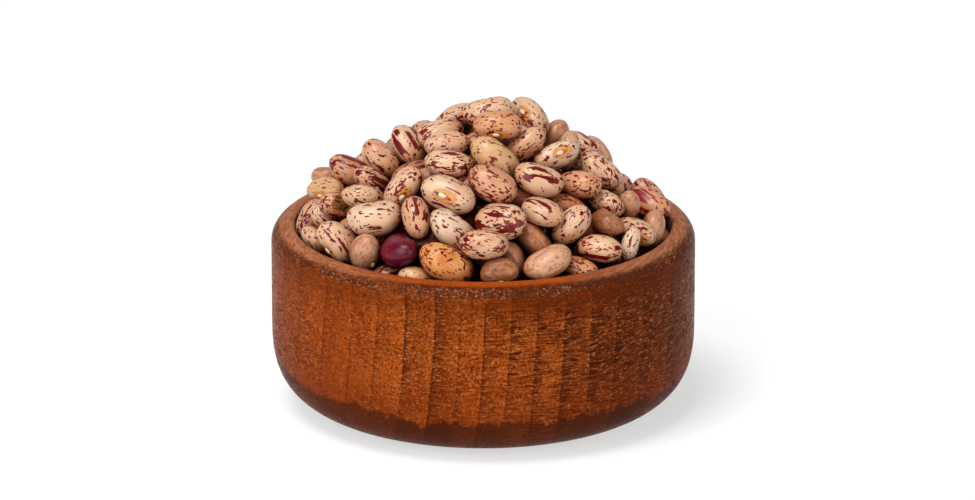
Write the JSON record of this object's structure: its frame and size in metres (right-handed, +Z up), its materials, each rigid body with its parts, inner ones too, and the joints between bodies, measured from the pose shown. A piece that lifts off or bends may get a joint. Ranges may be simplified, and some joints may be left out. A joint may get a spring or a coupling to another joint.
{
  "type": "bowl of dried beans",
  "caption": "Turned wooden bowl with an upright wall, a rounded bottom and a rounded rim, heaped high with dried speckled beans.",
  "frame": {"origin": "centre of the flat base that the bowl stands on", "axes": "+Z up along the bowl's turning axis, +X to the right and -Y to the front"},
  "size_m": [0.12, 0.12, 0.0887],
  "materials": {
    "stained_wood": "reddish-brown stained and lacquered wood with a satin sheen, fine pores and fine turning lines",
    "dried_beans": "smooth dry skins, cream to pinkish tan with maroon streaks and flecks, softly satin"
  },
  "bodies": {
    "root": {"bowl": "stained_wood", "bean_heap": "dried_beans"}
  },
  "joints": []
}
